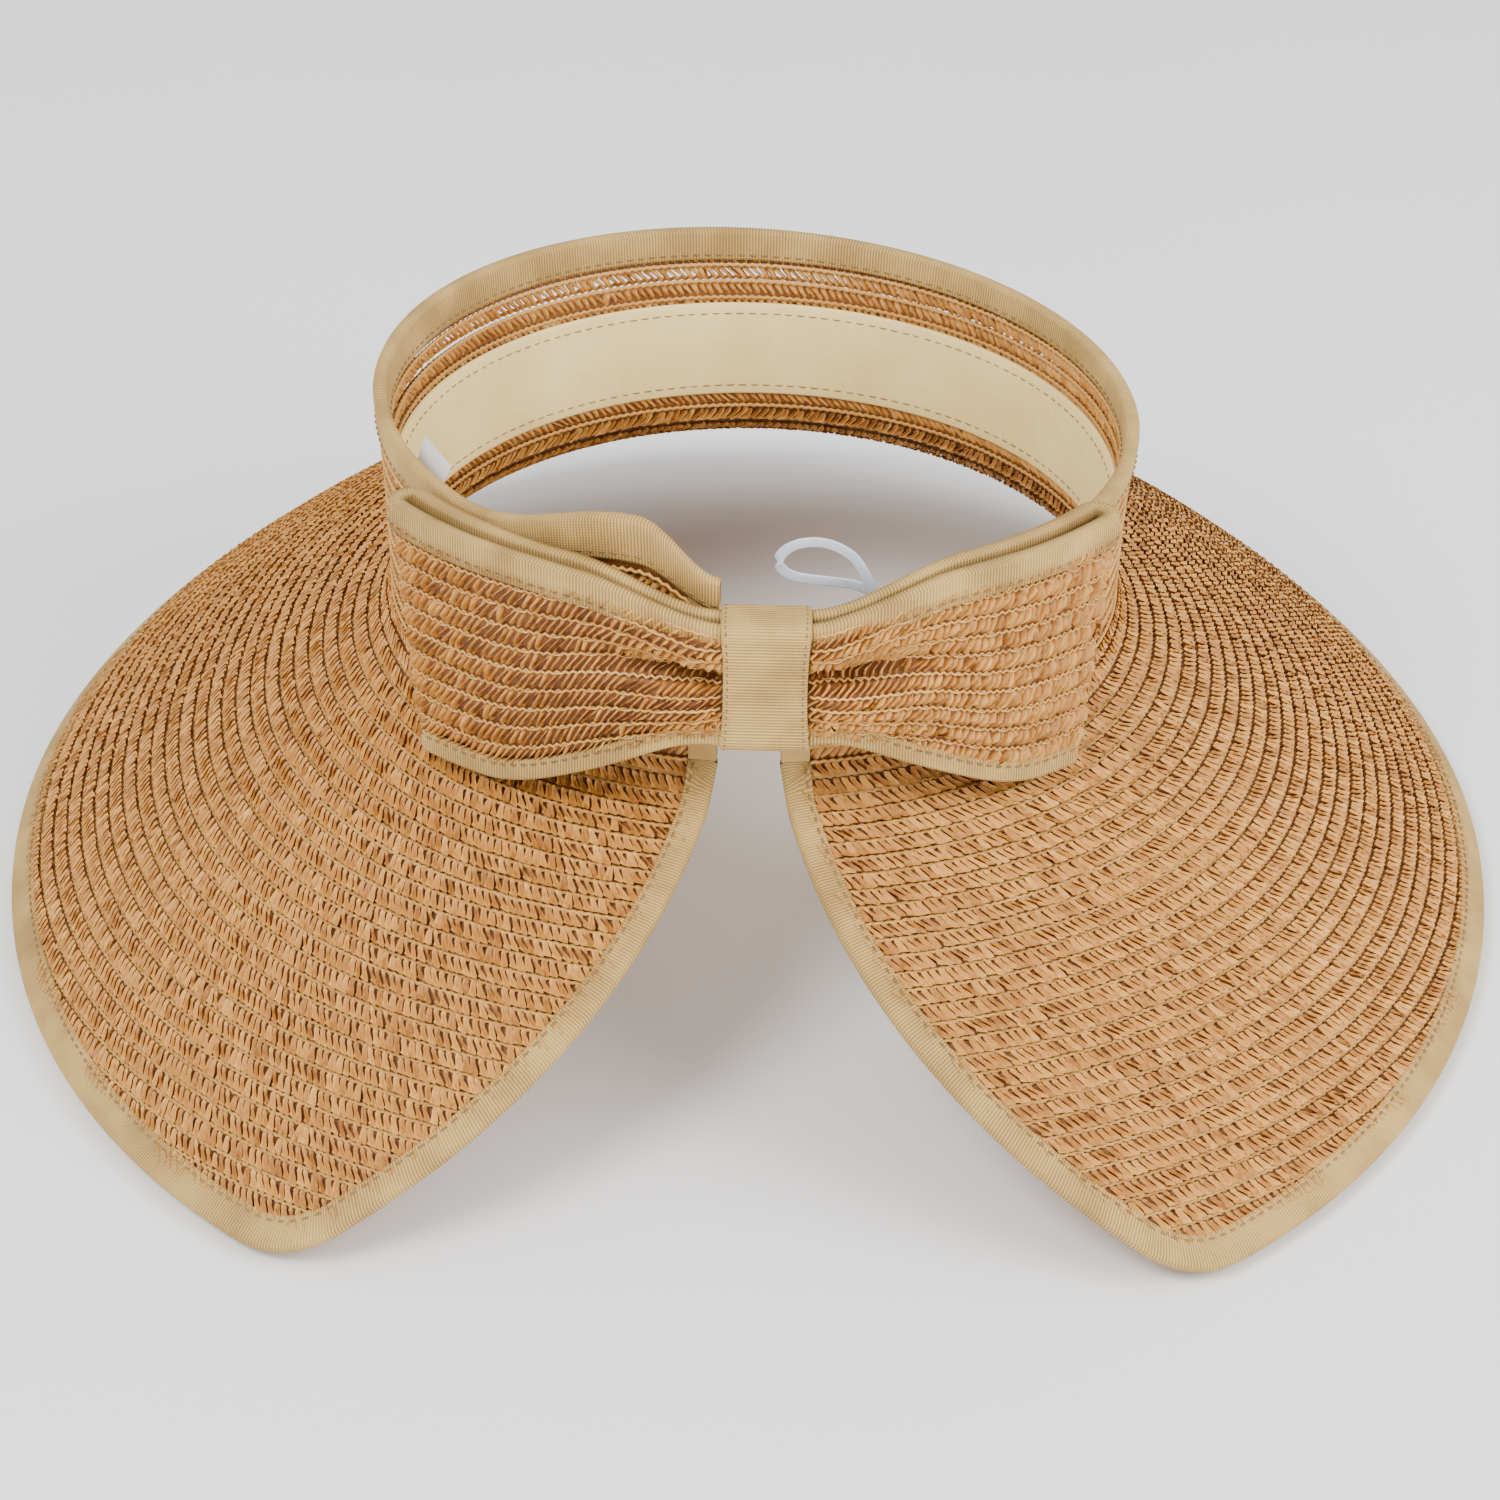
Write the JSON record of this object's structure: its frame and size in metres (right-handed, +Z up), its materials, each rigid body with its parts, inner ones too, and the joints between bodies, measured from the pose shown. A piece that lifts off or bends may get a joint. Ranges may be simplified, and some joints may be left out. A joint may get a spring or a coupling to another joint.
{
  "type": "sun visor",
  "caption": "Wide-brimmed roll-up straw sun visor, open at the crown and split at the back, with ribbon bindings, a cloth sweatband and a bow that closes with hook-and-loop tape.",
  "frame": {"origin": "centre of the bounding box, on the plane that the edge of the brim stands on", "axes": "+Z up through the head opening, -Y towards the wearer's brow, +Y towards the bow, +X towards the wearer's left"},
  "size_m": [0.3756, 0.3699, 0.1448],
  "materials": {
    "straw": "matte woven paper straw, courses sewn edge over edge",
    "ribbon": "matte ribbed grosgrain",
    "sweatband_cloth": "matte cotton",
    "tape": "matte hook-and-loop pile",
    "label_cloth": "satin",
    "elastic": "matte braided elastic"
  },
  "bodies": {
    "visor": {"crown_braid": "straw", "brim_braid": "straw", "bow_wing_right": "straw", "crown_binding": "ribbon", "brim_binding": "ribbon", "crown_end_binding_left": "ribbon", "crown_end_binding_right": "ribbon", "bow_top_binding_right": "ribbon", "bow_bottom_binding_right": "ribbon", "bow_seam_tab": "ribbon", "sweatband": "sweatband_cloth", "loop_tape": "tape", "elastic_loop": "elastic"},
    "bow_closure": {"bow_knot": "ribbon", "bow_wing_left": "straw", "bow_top_binding_left": "ribbon", "bow_bottom_binding_left": "ribbon", "hook_tape": "tape"},
    "label_flap": {"care_label": "label_cloth"}
  },
  "joints": [
    {"name": "closure_swing", "type": "hinge", "parent": "visor", "child": "bow_closure", "pos_m": [-0.0139, 0.1127, 0.111], "axis": [0, 0, 1], "range_deg": [0, 100]},
    {"name": "label_fold", "type": "hinge", "parent": "visor", "child": "label_flap", "pos_m": [0.07875, 0.04071, 0.1085], "axis": [0.4067, -0.9135, 0], "range_deg": [0, 150], "stiffness_Nm_per_rad": 0.0001, "springref_deg": -8.59}
  ]
}
